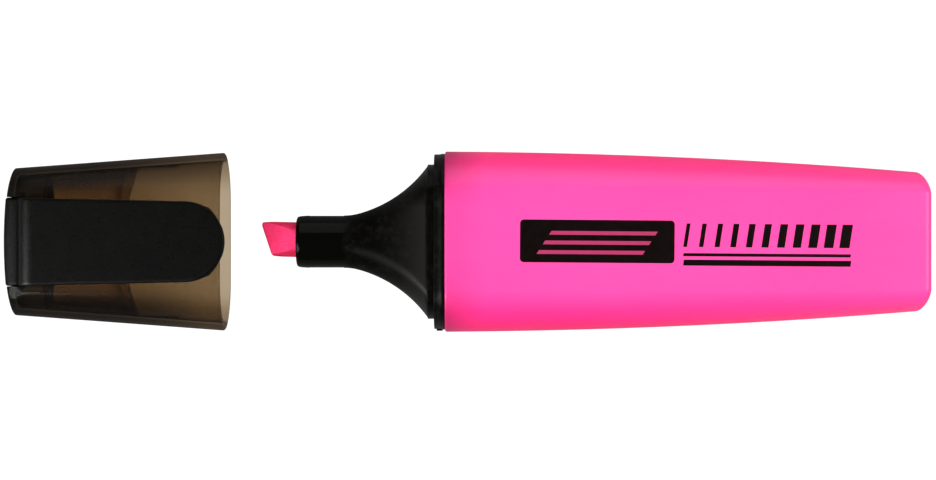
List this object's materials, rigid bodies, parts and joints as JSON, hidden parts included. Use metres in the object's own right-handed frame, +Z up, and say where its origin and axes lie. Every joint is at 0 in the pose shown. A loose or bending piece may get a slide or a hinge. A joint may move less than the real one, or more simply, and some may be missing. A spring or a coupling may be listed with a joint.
{
  "type": "highlighter pen",
  "caption": "Flat oval highlighter pen with a chisel felt nib, a flared nose, and a tinted clear cap with a pocket clip, standing off in line.",
  "frame": {"origin": "middle of the bounding box in plan, on the plane that the pen's flat face rests on", "axes": "+X along the pen from the cap to the tail, +Y across the flat faces, +Z up out of the printed flat face, on the clip's side"},
  "size_m": [0.136, 0.0268, 0.0187],
  "materials": {
    "barrel_plastic": "satin fluorescent pink polypropylene",
    "nose_plastic": "glossy black on the nozzle, satin on the flare and collar",
    "nib_felt": "ink-soaked bonded polyester felt",
    "ink_fibre": "ink-soaked fibre bundle",
    "wrap_film": "thin clear film",
    "cap_smoke": "glossy smoke-tinted clear plastic",
    "seal_smoke": "satin smoke-tinted clear plastic",
    "plug_plastic": "plain black",
    "clip_plastic": "fine spark-eroded grain, black"
  },
  "bodies": {
    "pen": {"barrel": "barrel_plastic", "nose_section": "nose_plastic", "nib": "nib_felt", "ink_reservoir": "ink_fibre", "reservoir_wrap": "wrap_film"},
    "cap": {"cap_shell": "cap_smoke", "cap_inner_seal": "seal_smoke", "cap_end_plug": "plug_plastic"},
    "clip": {"cap_clip": "clip_plastic"}
  },
  "joints": [
    {"name": "cap_slide", "type": "slide", "parent": "pen", "child": "cap", "axis": [1, 0, 0], "range_m": [0, 0.03108]},
    {"name": "clip_flex", "type": "hinge", "parent": "cap", "child": "clip", "pos_m": [-0.0652, 0, 0.01075], "axis": [0, -1, 0], "range_deg": [0, 5], "stiffness_Nm_per_rad": 0.6}
  ]
}
